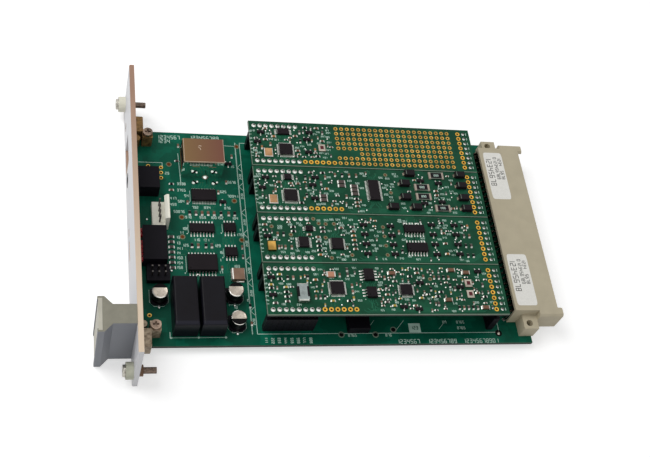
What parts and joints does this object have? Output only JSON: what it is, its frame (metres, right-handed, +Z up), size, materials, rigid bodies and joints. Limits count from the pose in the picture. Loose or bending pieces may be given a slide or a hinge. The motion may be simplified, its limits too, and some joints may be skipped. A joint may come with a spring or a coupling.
{
  "type": "switch line card",
  "caption": "Plug-in line card: a carrier board with a front panel, pull handle and captive screws, stacked plug-in modules, and a multi-row plug connector at the rear edge.",
  "frame": {"origin": "rear face of the front panel at its middle height, level with the carrier board's component face", "axes": "+X towards the rear connector, +Y along the panel away from the handle, +Z up from the component face"},
  "size_m": [0.1892, 0.129, 0.0301],
  "materials": {
    "panel_metal": "fine satin, pale",
    "handle_moulding": "grey, fine grain",
    "cream_moulding": "cream",
    "brown_moulding": "brown",
    "clear_white_moulding": "milky white",
    "steel": "plated",
    "bracket_casting": "yellow passivated casting",
    "carrier_laminate": "deep green lacquer",
    "module_laminate": "green lacquer",
    "black_moulding": "black",
    "chip_moulding": "black epoxy",
    "relay_case": "black",
    "can_metal": "bright",
    "tan_moulding": "tan",
    "shell_metal": "bright, bronze tinted",
    "contact_metal": "gold plated",
    "red_lens": "clear red",
    "connector_moulding": "khaki, glass filled",
    "crystal_lid": "plated lid",
    "resistor_body": "glazed",
    "gold_plate": "plated"
  },
  "bodies": {
    "card": {"bracket_nuts": "steel", "bracket_screws": "steel", "capacitor_bases": "black_moulding", "capacitor_cans": "can_metal", "carrier_board": "carrier_laminate", "carrier_chips": "chip_moulding", "chip_capacitor": "tan_moulding", "choke": "black_moulding", "filter_coil": "gold_plate", "front_jack": "black_moulding", "front_panel": "panel_metal", "front_relay": "relay_case", "handle_label_strip": "cream_moulding", "handle_screw": "steel", "indicator_lamps": "red_lens", "lamp_holder": "black_moulding", "latch_header": "cream_moulding", "latch_header_pins": "contact_metal", "lower_board_bracket": "bracket_casting", "lower_lock_ring": "brown_moulding", "lower_screw_bush": "cream_moulding", "module_1_board": "module_laminate", "module_1_chips": "chip_moulding", "module_1_header_strips": "black_moulding", "module_1_pins": "contact_metal", "module_2_board": "module_laminate", "module_2_chips": "chip_moulding", "module_2_header_strips": "black_moulding", "module_2_pins": "contact_metal", "module_3_board": "module_laminate", "module_3_chips": "chip_moulding", "module_3_header_strips": "black_moulding", "module_3_pins": "contact_metal", "module_4_board": "module_laminate", "module_4_chips": "chip_moulding", "module_4_header_strips": "black_moulding", "module_4_pins": "contact_metal", "module_crystals": "crystal_lid", "module_diodes": "chip_moulding", "module_resistors": "resistor_body", "module_sockets": "black_moulding", "panel_screw": "steel", "pin_header": "black_moulding", "pin_header_pins": "contact_metal", "pull_handle": "handle_moulding", "rear_connector_housing": "connector_moulding", "rear_connector_pins": "contact_metal", "rear_connector_tails": "contact_metal", "rear_relay": "relay_case", "shielded_coil": "can_metal", "socket_insert": "black_moulding", "socket_shell": "shell_metal", "upper_board_bracket": "bracket_casting", "upper_lock_ring": "brown_moulding", "upper_screw_bush": "cream_moulding"},
    "upper_washer": {"upper_neck_washer": "clear_white_moulding"},
    "upper_screw": {"upper_captive_screw": "steel"},
    "lower_washer": {"lower_neck_washer": "clear_white_moulding"},
    "lower_screw": {"lower_captive_screw": "steel"}
  },
  "joints": [
    {"name": "upper_screw_draw", "type": "slide", "parent": "card", "child": "upper_washer", "axis": [-1, 0, 0], "range_m": [0, 0.0038]},
    {"name": "upper_screw_turn", "type": "hinge", "parent": "upper_washer", "child": "upper_screw", "pos_m": [0, 0.0612, 0.00338], "axis": [1, 0, 0], "continuous": true},
    {"name": "lower_screw_draw", "type": "slide", "parent": "card", "child": "lower_washer", "axis": [-1, 0, 0], "range_m": [0, 0.0038]},
    {"name": "lower_screw_turn", "type": "hinge", "parent": "lower_washer", "child": "lower_screw", "pos_m": [0, -0.0612, 0.00338], "axis": [1, 0, 0], "continuous": true}
  ]
}
